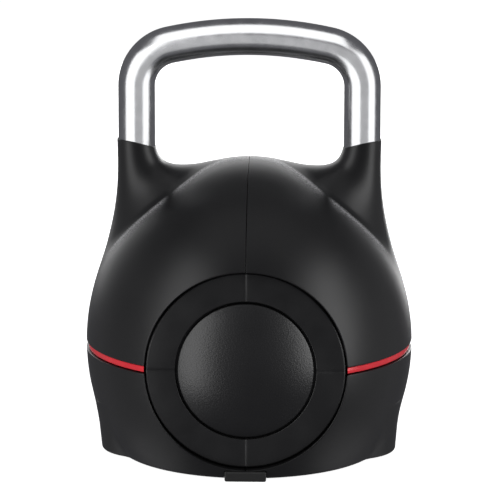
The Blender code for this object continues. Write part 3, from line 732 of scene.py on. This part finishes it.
def make_shells(finish):
    pockets = pocket_cutters()
    for up, level in ((1.0, "upper"), (-1.0, "lower")):
        steps, rows = UPPER_MESH if up > 0.0 else LOWER_MESH
        verts, faces = Quarter(up > 0.0).mesh(steps, rows)
        for side, word in ((-1.0, "left"), (1.0, "right")):
            name = level + "_shell_" + word
            parts = [mesh_object(name + "_surface", verts * np.array([-side, 1.0, 1.0]), faces, finish)]
            # Painted highlight along the shoulder crease, stored on the points for the shell's material.
            mark_rubbed(parts[0], verts)
            for end in (-1.0, 1.0):
                parts.append(mesh_object(name + "_collar", *collar(side, up, end), finish))
            if up < 0.0:
                for part in parts:
                    for pocket in pockets:
                        cut(part, pocket)
            stand_in(join(parts), "bell", name)
    for pocket in pockets:
        drop(pocket)


# -------- handle and gaskets


def handle_path():
    """Centre line from the left leg's end, over the top, to the right leg's end."""
    arc_z = TOP_Z - TOP_ARC_R
    corner_x = LEG_X - CORNER_R
    corner_z = arc_z + math.sqrt((TOP_ARC_R - CORNER_R) ** 2 - corner_x**2)
    meet = math.atan2(corner_x, corner_z - arc_z)
    right = []
    for i in range(TOP_STEPS):
        angle = meet * i / TOP_STEPS
        right.append((TOP_ARC_R * math.sin(angle), arc_z + TOP_ARC_R * math.cos(angle)))
    for i in range(BEND_STEPS + 1):
        angle = meet + (math.pi / 2.0 - meet) * i / BEND_STEPS
        right.append((corner_x + CORNER_R * math.sin(angle), corner_z + CORNER_R * math.cos(angle)))
    for i in range(1, LEG_STEPS + 1):
        right.append((LEG_X, corner_z + (LEG_END_Z - corner_z) * i / LEG_STEPS))
    left = [(-x, z) for x, z in reversed(right[1:])]
    return [Vector((x, 0.0, z)) for x, z in left + right]


def make_handle(finish):
    path = handle_path()
    loops = []
    for radius in (TUBE_R, TUBE_BORE_R):
        run = []
        for i, point in enumerate(path):
            along = (path[min(i + 1, len(path) - 1)] - path[max(i - 1, 0)]).normalized()
            across = along.cross(Vector((0.0, 1.0, 0.0)))
            loop = []
            for k in range(TUBE_SIDES):
                angle = 2.0 * math.pi * k / TUBE_SIDES
                loop.append(point + radius * (across * math.cos(angle) + Vector((0.0, math.sin(angle), 0.0))))
            run.append(loop)
        loops += run if radius == TUBE_R else run[::-1]
    tube = mesh_object("handle_grip_tube", *loft(loops, closed_run=True), finish)
    stand_in(tube, "bell", "handle_tube")


def make_gaskets(finish):
    """Rounded rubber rings that follow the sloping lips."""
    inner = TUBE_R + CLOSE_GAP
    outer = BORE_R + CLOSE_GAP
    profile = rounded(
        [(inner, GASKET_LOW), (outer, GASKET_LOW), (outer, GASKET_HIGH), (inner, GASKET_HIGH)],
        GASKET_EDGE,
    )
    for side, word in ((-1.0, "left"), (1.0, "right")):
        loops = []
        for i in range(GASKET_STEPS):
            turn = 2.0 * math.pi * i / GASKET_STEPS
            loop = []
            for radius, lift in profile:
                x = side * LEG_X + radius * math.cos(turn)
                y = radius * math.sin(turn)
                loop.append((x, y, float(lip_height(x, y)) + lift))
            loops.append(loop)
        gasket = mesh_object("leg_gasket_" + word, *loft(loops, closed_run=True), finish)
        stand_in(gasket, "bell", "handle_gasket_" + word)


# -------- band and tabs


def make_bands(finish):
    """Red strips with softly crowned faces, from the front mouth round to the rear one."""
    section = rounded(
        [
            (BAND_IN_R, -BAND_HALF),
            (BAND_OUT_R - BAND_CROWN, -BAND_HALF),
            (BAND_OUT_R, 0.0),
            (BAND_OUT_R - BAND_CROWN, BAND_HALF),
            (BAND_IN_R, BAND_HALF),
        ],
        BAND_EDGE,
    )
    for side, word in ((-1.0, "left"), (1.0, "right")):
        loops = []
        for i in range(BAND_STEPS + 1):
            loop = []
            for radius, lift in section:
                first = math.asin((MOUTH_R + BAND_END_GAP) / radius)
                angle = first + (math.pi - 2.0 * first) * i / BAND_STEPS
                loop.append((side * radius * math.sin(angle), -radius * math.cos(angle), EQUATOR_Z + lift))
            loops.append(loop)
        band = mesh_object("equator_strip_" + word, *capped_loft(loops), finish)
        stand_in(band, "bell", "accent_band_" + word)


def rounded_block(name, low, high, radius, finish):
    """A moulded block with all its edges rounded."""
    made = mesh_object(name, *box_mesh(low, high), finish)
    bevel = made.modifiers.new("edges", "BEVEL")
    bevel.width = radius
    bevel.segments = 4
    bevel.limit_method = "ANGLE"
    bevel.harden_normals = True
    return made


def make_feet(finish):
    for piece, node, edge in (
        ("stand_tab_front", "foot_tab_front", TAB_EDGE),
        ("stand_tab_rear", "foot_tab_rear", TAB_EDGE),
        ("stand_pad_left", "side_foot_pad_left", PAD_EDGE),
        ("stand_pad_right", "side_foot_pad_right", PAD_EDGE),
    ):
        stand_in(rounded_block(piece, *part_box(node), edge, finish), "bell", node)


# -------- rings and domes


def make_ring(sign, word, finish):
    """Lock ring with a chamfered rim and four V grooves across its face."""
    chamfer = 0.9 * MM
    soft = 0.2 * MM
    bead = 0.06 * MM
    inner_edge = 0.4 * MM
    inner_soft = (0.15 * MM, 0.12 * MM)
    rebate_r = DOME_R + DOME_FLANGE + 0.6 * MM
    rebate = DOME_FLANGE_FRONT + FIT_GAP
    profile = [
        (RING_IN_R, rebate),
        (RING_IN_R, RING_FACE - 1.2 * MM),
        (RING_IN_R, RING_FACE - inner_edge),
        (RING_IN_R + inner_soft[0], RING_FACE - inner_soft[1]),
        (RING_IN_R + inner_edge, RING_FACE),
        (RING_R - chamfer - soft, RING_FACE),
        (RING_R - chamfer, RING_FACE - bead),
        (RING_R - bead, RING_FACE - chamfer),
        (RING_R, RING_FACE - chamfer - soft),
        (RING_R, RING_FACE - 1.3 * MM),
        (RING_R, RING_BACK),
        (rebate_r, RING_BACK),
        (rebate_r, rebate),
    ]
    groove_half = 0.8 * MM
    groove_depth = 0.36 * MM
    plain_columns = 40
    columns = []
    for k in range(4):
        base = math.pi / 2.0 * k
        columns.append((base, -groove_half, 0.0))
        columns.append((base, 0.0, groove_depth))
        columns.append((base, groove_half, 0.0))
        for i in range(1, plain_columns):
            columns.append((base + math.pi / 2.0 * i / plain_columns, 0.0, 0.0))
    loops = []
    for base, offset, depth in columns:
        loop = []
        for radius, along in profile:
            turn = base + offset / radius
            reach = min(along, RING_FACE - depth)
            loop.append((radius * math.sin(turn), sign * reach, EQUATOR_Z + radius * math.cos(turn)))
        loops.append(loop)
    ring = mesh_object(word + "_twist_ring", *loft(loops, closed_run=True), finish, RING_SHARP_DEGREES)
    stand_in(ring, word + "_ring", word + "_lock_ring")


def make_dome(sign, word, finish):
    """Domed cover: a shallow cap with a small rolled edge, hollow behind."""
    radius = (DOME_R**2 + DOME_RISE**2) / (2.0 * DOME_RISE)
    roll = 1.2 * MM

    def cap(r):
        return DOME_EDGE + DOME_RISE - radius + math.sqrt(radius**2 - r * r)

    cap_steps = 40
    roll_steps = 8
    back_steps = 12
    last = DOME_R - roll
    outer = [(0.0, cap(0.0))]
    outer += [(last * i / cap_steps, cap(last * i / cap_steps)) for i in range(1, cap_steps + 1)]
    lean = math.asin(last / radius)
    centre = (last - roll * math.sin(lean), cap(last) - roll * math.cos(lean))
    for i in range(1, roll_steps + 1):
        angle = lean + (math.pi / 2.0 - lean) * i / roll_steps
        outer.append((centre[0] + roll * math.sin(angle), centre[1] + roll * math.cos(angle)))
    wall_r = outer[-1][0]
    inner_r = wall_r - DOME_SKIN
    back = PLATE_FRONT + FIT_GAP
    outer += [
        (wall_r, DOME_FLANGE_FRONT),
        (DOME_R + DOME_FLANGE, DOME_FLANGE_FRONT),
        (DOME_R + DOME_FLANGE, back),
        (inner_r, back),
    ]
    for i in range(back_steps, 0, -1):
        r = inner_r * i / back_steps
        outer.append((r, cap(r) - DOME_SKIN))
    outer.append((0.0, cap(0.0) - DOME_SKIN))
    dome = mesh_object(word + "_domed_cover", *lathe(outer, ROUND_STEPS, sign), finish)
    stand_in(dome, word + "_cartridge", word + "_dome_cover")


# -------- weight stack


def span(node):
    """Outer radius of a turned CAD piece, and its two ends along Y as distances outwards."""
    low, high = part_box(node)
    ends = sorted((abs(low[1]), abs(high[1])))
    return (high[0] - low[0]) / 2.0, ends[0], ends[1]


def turned_copy(node, profile, sign, body, finish, steps=ROUND_STEPS):
    stand_in(mesh_object(node + "_turned", *lathe(profile, steps, sign), finish), body, node)


def washer_profile(inner, radius, back, front, edge):
    return rounded([(inner, back), (radius, back), (radius, front), (inner, front)], edge)


def make_stack(sign, word, looks):
    """Weight discs with a shallow recess in each face, then the plain turned pieces and the spindle."""
    body = word + "_cartridge"
    hub_r = 16.0 * MM
    hub_foot_r = 17.0 * MM
    rim = 9.0 * MM
    rim_foot = 10.0 * MM
    recess = 1.6 * MM
    for number in range(1, 4):
        node = word + "_weight_disc_" + str(number)
        radius, back, front = span(node)
        profile = rounded(
            [
                (STACK_BORE_R, back),
                (hub_r, back),
                (hub_foot_r, back + recess),
                (radius - rim_foot, back + recess),
                (radius - rim, back),
                (radius, back),
                (radius, front),
                (radius - rim, front),
                (radius - rim_foot, front - recess),
                (hub_foot_r, front - recess),
                (hub_r, front),
                (STACK_BORE_R, front),
            ],
            0.8 * MM,
        )
        turned_copy(node, profile, sign, body, looks["iron"])
    for piece, slot, inner, edge in (
        ("base_plate", "steel", STACK_BORE_R, 0.5 * MM),
        ("spacer_bush", "steel", STACK_BORE_R, 0.4 * MM),
        ("spindle_washer", "steel", WASHER_BORE_R, 0.4 * MM),
        ("seal", "rubber", SEAL_BORE_R, 0.5 * MM),
    ):
        node = word + "_" + piece
        turned_copy(node, washer_profile(inner, *span(node), edge), sign, body, looks[slot])
    make_spindle(sign, word, looks["steel"])


def make_spindle(sign, word, finish):
    """Spindle with a flanged head and rolled thread at its inner end."""
    node = word + "_spindle"
    head_r, back, front = span(node)
    shank_r = 8.0 * MM
    root_r = shank_r - 0.8 * MM
    tip_r = shank_r - 1.2 * MM
    pitch = 1.5 * MM
    thread_start = back + 0.8 * MM
    thread_end = back + 15.0 * MM
    head_edge = 0.6 * MM
    seat = PLATE_FRONT + FIT_GAP
    profile = [(0.0, back), (tip_r, back)]
    along = thread_start
    while along < thread_end:
        profile.append((shank_r, along))
        profile.append((shank_r, along + 0.2 * pitch))
        profile.append((root_r, along + 0.55 * pitch))
        profile.append((root_r, along + 0.65 * pitch))
        along += pitch
    profile += [
        (shank_r, along),
        (shank_r, seat),
        (head_r, seat),
        (head_r, front - head_edge),
        (head_r - head_edge, front),
        (0.0, front),
    ]
    turned_copy(node, profile, sign, word + "_cartridge", finish, SPINDLE_STEPS)


# -------- carried-over CAD pieces


def dress_cad(looks):
    """New finishes and small rounded edges for the CAD pieces that stay."""
    for name, item in frame["nodes"].items():
        if "screw" in name or "bolt" in name or "nut" in name or "plug" in name:
            wanted = looks["steel"]
        elif "drum" in name:
            wanted = looks["iron"]
        else:
            continue
        item.data.materials.clear()
        item.data.materials.append(wanted)
        bevel = item.modifiers.new("edges", "BEVEL")
        bevel.width = CAD_EDGE
        bevel.segments = 2
        bevel.limit_method = "ANGLE"
        bevel.angle_limit = math.radians(CAD_SHARP_DEGREES)


# -------- materials


class Nodes:
    """Short names for building a material's node tree. Most of a noise lies from LOW_AT to HIGH_AT."""

    LOW_AT, HIGH_AT = 0.3, 0.7

    def __init__(self, name):
        self.material = bpy.data.materials.new(name)
        self.material.use_nodes = True
        self.tree = self.material.node_tree
        self.shader = self.tree.nodes["Principled BSDF"]
        self.place = self.add("ShaderNodeTexCoord").outputs["Object"]

    def add(self, kind):
        return self.tree.nodes.new(kind)

    def link(self, source, target):
        self.tree.links.new(source, target)

    def noise(self, size, detail):
        made = self.add("ShaderNodeTexNoise")
        made.inputs["Scale"].default_value = 1.0 / size
        made.inputs["Detail"].default_value = detail
        self.link(self.place, made.inputs["Vector"])
        return made.outputs["Fac"]

    def cells(self, size):
        made = self.add("ShaderNodeTexVoronoi")
        made.feature = "SMOOTH_F1"
        made.inputs["Scale"].default_value = 1.0 / size
        self.link(self.place, made.inputs["Vector"])
        return made.outputs["Distance"]

    def ramp(self, source, low, high):
        """Maps a noise factor to a range of values."""
        made = self.add("ShaderNodeMapRange")
        made.inputs["From Min"].default_value = self.LOW_AT
        made.inputs["From Max"].default_value = self.HIGH_AT
        made.inputs["To Min"].default_value = low
        made.inputs["To Max"].default_value = high
        self.link(source, made.inputs["Value"])
        return made.outputs["Result"]

    def colours(self, source, low, high):
        made = self.add("ShaderNodeValToRGB")
        made.color_ramp.elements[0].position = self.LOW_AT
        made.color_ramp.elements[0].color = (*low, 1.0)
        made.color_ramp.elements[1].position = self.HIGH_AT
        made.color_ramp.elements[1].color = (*high, 1.0)
        self.link(source, made.inputs["Fac"])
        return made.outputs["Color"]

    def bump(self, height, depth, strength=1.0, under=None):
        made = self.add("ShaderNodeBump")
        made.inputs["Strength"].default_value = strength
        made.inputs["Distance"].default_value = depth
        self.link(height, made.inputs["Height"])
        if under is not None:
            self.link(under, made.inputs["Normal"])
        return made.outputs["Normal"]

    def set(self, **values):
        for key, value in values.items():
            self.shader.inputs[key.replace("_", " ")].default_value = value


def shell_plastic():
    """Spark-grained black moulding, with a painted light-grey highlight along the crease under each shoulder.
    """
    n = Nodes("grained_black_shell")
    drift = n.noise(60.0 * MM, 3.0)
    grain = n.noise(0.9 * MM, 2.0)
    base = n.colours(drift, (0.0075, 0.0075, 0.008), (0.0105, 0.0105, 0.011))
    painted_highlight = n.add("ShaderNodeAttribute")
    painted_highlight.attribute_name = "painted_highlight"
    speckle = n.ramp(grain, 0.1, 1.7)
    amount = n.add("ShaderNodeMath")
    amount.operation = "MULTIPLY"
    amount.use_clamp = True
    n.link(painted_highlight.outputs["Fac"], amount.inputs[0])
    n.link(speckle, amount.inputs[1])
    # Light grey painted into the colour as a highlight along the crease, speckled by the grain.
    highlight_paint = n.add("ShaderNodeMix")
    highlight_paint.data_type = "RGBA"
    highlight_paint.inputs["B"].default_value = (0.75, 0.75, 0.76, 1.0)
    n.link(amount.outputs["Value"], highlight_paint.inputs["Factor"])
    n.link(base, highlight_paint.inputs["A"])
    n.link(highlight_paint.outputs["Result"], n.shader.inputs["Base Color"])
    n.link(n.ramp(drift, 0.36, 0.42), n.shader.inputs["Roughness"])
    n.link(n.bump(grain, 0.06 * MM, 0.6), n.shader.inputs["Normal"])
    n.set(Specular_IOR_Level=0.5)
    return n.material


def dome_plastic():
    """Leather-like pebble grain in black plastic."""
    n = Nodes("leather_black_dome")
    pebble = n.cells(1.15 * MM)
    fine = n.noise(0.35 * MM, 3.0)
    drift = n.noise(30.0 * MM, 2.0)
    n.link(n.colours(drift, (0.0065, 0.0065, 0.007), (0.0095, 0.0095, 0.010)), n.shader.inputs["Base Color"])
    n.link(n.ramp(fine, 0.34, 0.42), n.shader.inputs["Roughness"])
    under = n.bump(fine, 0.03 * MM, 0.4)
    n.link(n.bump(pebble, 0.16 * MM, 0.5, under), n.shader.inputs["Normal"])
    n.set(Specular_IOR_Level=0.8)
    return n.material


def noisy_finish(name, metallic, drift, fine, tints, rough, bump, rough_follows_fine=False):
    """A finish whose colour drifts with one noise and whose relief follows a finer one."""
    n = Nodes(name)
    wide = n.noise(*drift)
    grain = n.noise(*fine)
    n.set(Metallic=metallic)
    n.link(n.colours(wide, *tints), n.shader.inputs["Base Color"])
    n.link(n.ramp(grain if rough_follows_fine else wide, *rough), n.shader.inputs["Roughness"])
    n.link(n.bump(grain, *bump), n.shader.inputs["Normal"])
    return n.material


def make_looks():
    """Finishes by slot. A noise is its size and detail; relief is its depth and strength."""
    return {
        "shell": shell_plastic(),
        "ring": noisy_finish(
            "satin_black_ring", 0.0, (25.0 * MM, 2.0), (0.25 * MM, 2.0),
            ((0.012, 0.012, 0.0125), (0.017, 0.017, 0.0175)), (0.36, 0.44), (0.02 * MM, 0.35),
        ),
        "dome": dome_plastic(),
        "red": noisy_finish(
            "gloss_red_strip", 0.0, (12.0 * MM, 2.0), (0.5 * MM, 1.0),
            ((0.78, 0.030, 0.045), (0.86, 0.038, 0.053)), (0.18, 0.26), (0.01 * MM, 0.3),
        ),
        "rubber": noisy_finish(
            "matt_black_rubber", 0.0, (0.3 * MM, 3.0), (0.3 * MM, 3.0),
            ((0.010, 0.010, 0.010), (0.018, 0.018, 0.018)), (0.62, 0.8), (0.04 * MM, 0.5),
        ),
        "chrome": noisy_finish(
            "satin_chrome_tube", 1.0, (8.0 * MM, 4.0), (0.4 * MM, 2.0),
            ((0.66, 0.665, 0.675), (0.72, 0.725, 0.735)), (0.21, 0.27), (0.008 * MM, 0.25),
        ),
        "steel": noisy_finish(
            "turned_zinc_steel", 1.0, (15.0 * MM, 3.0), (0.5 * MM, 3.0),
            ((0.42, 0.43, 0.44), (0.55, 0.56, 0.57)), (0.28, 0.42), (0.02 * MM, 0.3), True,
        ),
        "iron": noisy_finish(
            "primed_cast_iron", 0.6, (22.0 * MM, 3.0), (1.1 * MM, 5.0),
            ((0.045, 0.046, 0.05), (0.075, 0.076, 0.08)), (0.5, 0.72), (0.18 * MM, 0.6), True,
        ),
    }


# -------- camera, floor and light


def make_camera():
    """Above and a little to the right of the ball's front, aimed above its middle."""
    turn, rise = CAMERA_TURN, CAMERA_RISE
    back = Vector((math.sin(turn) * math.cos(rise), -math.cos(turn) * math.cos(rise), math.sin(rise)))
    data = bpy.data.cameras.new("camera")
    data.sensor_width = 36.0
    data.lens = CAMERA_LENS
    camera = bpy.data.objects.new("camera", data)
    bpy.context.scene.collection.objects.link(camera)
    camera.location = Vector((0.0, 0.0, EQUATOR_Z)) + back * CAMERA_DISTANCE
    right = (-back).cross(Vector((0.0, 0.0, 1.0))).normalized()
    up = right.cross(-back)
    aim = -back + up * math.tan(AIM_UP) + right * math.tan(AIM_RIGHT)
    turned = aim.to_track_quat("-Z", "Y").to_matrix().to_4x4()
    rolled = Matrix.Rotation(CAMERA_ROLL, 4, "Z")
    camera.matrix_world = Matrix.Translation(camera.location) @ turned @ rolled
    data.clip_start = 0.1
    data.clip_end = 50.0
    bpy.context.scene.camera = camera


def seen_white(tree, plain, white):
    """Shows the camera a lighter version of a stage surface than the kettlebell reflects."""
    mix = tree.nodes.new("ShaderNodeMixShader")
    path = tree.nodes.new("ShaderNodeLightPath")
    tree.links.new(path.outputs["Is Camera Ray"], mix.inputs["Fac"])
    tree.links.new(plain, mix.inputs[1])
    tree.links.new(white, mix.inputs[2])
    return mix.outputs["Shader"]


def make_floor():
    """Pale floor, near white to the camera; reflections see past it to the studio's soft lamps."""
    far = FLOOR_REACH
    verts = [(-far, -far, 0.0), (far, -far, 0.0), (far, far, 0.0), (-far, far, 0.0)]
    n = Nodes("pale_floor")
    clear = n.add("ShaderNodeBsdfTransparent")
    lift = n.add("ShaderNodeEmission")
    lift.inputs["Strength"].default_value = 0.93
    pale = n.add("ShaderNodeBsdfDiffuse")
    pale.inputs["Color"].default_value = (0.85, 0.85, 0.85, 1.0)
    both = n.add("ShaderNodeAddShader")
    n.link(lift.outputs["Emission"], both.inputs[0])
    n.link(pale.outputs["BSDF"], both.inputs[1])
    seen = seen_white(n.tree, clear.outputs["BSDF"], both.outputs["Shader"])
    n.link(seen, n.tree.nodes["Material Output"].inputs["Surface"])
    floor = mesh_object("floor", verts, [(0, 1, 2, 3)], n.material)


def make_world():
    world = bpy.data.worlds.new("studio")
    bpy.context.scene.world = world
    world.use_nodes = True
    tree = world.node_tree
    room = tree.nodes["Background"]
    room.inputs["Color"].default_value = (0.12, 0.12, 0.13, 1.0)
    backdrop = tree.nodes.new("ShaderNodeBackground")
    backdrop.inputs["Color"].default_value = (1.0, 1.0, 1.0, 1.0)
    seen = seen_white(tree, room.outputs["Background"], backdrop.outputs["Background"])
    tree.links.new(seen, tree.nodes["World Output"].inputs["Surface"])


def softbox(name, azimuth, elevation, spread, rise, brightness, lit):
    """Area light aimed at the kettlebell. Azimuth 0 is on the camera's side, 90 to its right.

    Spread and rise are the full angles that it covers as seen from the kettlebell. It lights only
    the pieces in the collection lit, as when chrome and plastic are photographed one after the other.
    """
    target = Vector((0.0, 0.0, LAMP_TARGET_Z))
    a = math.radians(azimuth)
    e = math.radians(elevation)
    away = Vector((math.sin(a) * math.cos(e), -math.cos(a) * math.cos(e), math.sin(e)))
    data = bpy.data.lights.new(name, "AREA")
    data.shape = "RECTANGLE"
    data.size = 2.0 * LAMP_DISTANCE * math.tan(math.radians(spread / 2.0))
    data.size_y = 2.0 * LAMP_DISTANCE * math.tan(math.radians(rise / 2.0))
    data.energy = brightness * math.pi * data.size * data.size_y
    light = bpy.data.objects.new(name, data)
    bpy.context.scene.collection.objects.link(light)
    light.location = target + away * LAMP_DISTANCE
    light.rotation_mode = "QUATERNION"
    light.rotation_quaternion = away.to_track_quat("Z", "Y")
    light.visible_camera = False
    light.light_linking.receiver_collection = lit


def lit_group(name, wanted):
    """The pieces whose names pass the test."""
    group = bpy.data.collections.new(name)
    for item in bpy.context.scene.objects:
        if item.type == "MESH" and wanted(item.name):
            group.objects.link(item)
    return group


def make_lights():
    """Each row: name, azimuth, elevation, spread, rise in degrees, and brightness."""
    chrome = lit_group("lit_chrome", lambda name: name.startswith("handle_grip"))
    plastic = lit_group("lit_plastic", lambda name: not name.startswith("handle_grip"))
    rims = lit_group("lit_rims", lambda name: name.endswith("twist_ring") or "stand_tab" in name)
    strips = lit_group("lit_strips", lambda name: name.startswith("equator_strip"))
    lamps = (
        ("chrome_left", -40.0, 0.0, 58.0, 70.0, 1.55, chrome),
        ("chrome_middle", 15.0, -6.0, 46.0, 56.0, 0.42, chrome),
        ("chrome_right", 62.0, 0.0, 44.0, 70.0, 1.5, chrome),
        ("chrome_top", 0.0, 60.0, 60.0, 54.0, 1.5, chrome),
        ("left_front", -50.0, 6.0, 30.0, 72.0, 2.2, plastic),
        ("right_front", 64.0, 10.0, 28.0, 52.0, 2.9, plastic),
        ("left_fill", -105.0, -5.0, 50.0, 60.0, 0.12, plastic),
        ("right_fill", 105.0, -5.0, 50.0, 60.0, 0.16, plastic),
        ("back", 184.0, 16.0, 80.0, 40.0, 1.7, plastic),
        ("right_rim", 160.0, 8.0, 14.0, 36.0, 5.0, plastic),
        ("floor_left", -100.0, -50.0, 36.0, 20.0, 0.45, plastic),
        ("floor_right", 100.0, -50.0, 36.0, 20.0, 0.5, plastic),
        ("overhead", 0.0, 72.0, 60.0, 36.0, 0.3, plastic),
        ("ring_left", -86.0, 26.0, 26.0, 56.0, 4.0, rims),
        ("ring_right", 86.0, 30.0, 26.0, 50.0, 4.0, rims),
        ("strip_front", 0.0, 10.0, 60.0, 40.0, 1.2, strips),
    )
    for lamp in lamps:
        softbox(*lamp)


# -------- the whole scene


def main():
    make_camera()
    looks = make_looks()
    make_shells(looks["shell"])
    make_handle(looks["chrome"])
    make_gaskets(looks["rubber"])
    make_bands(looks["red"])
    make_feet(looks["rubber"])
    for sign, word in ((-1.0, "front"), (1.0, "rear")):
        make_ring(sign, word, looks["ring"])
        make_dome(sign, word, looks["dome"])
        make_stack(sign, word, looks)
    dress_cad(looks)
    make_floor()
    make_world()
    make_lights()
    bpy.context.scene.view_settings.view_transform = "Standard"


main()
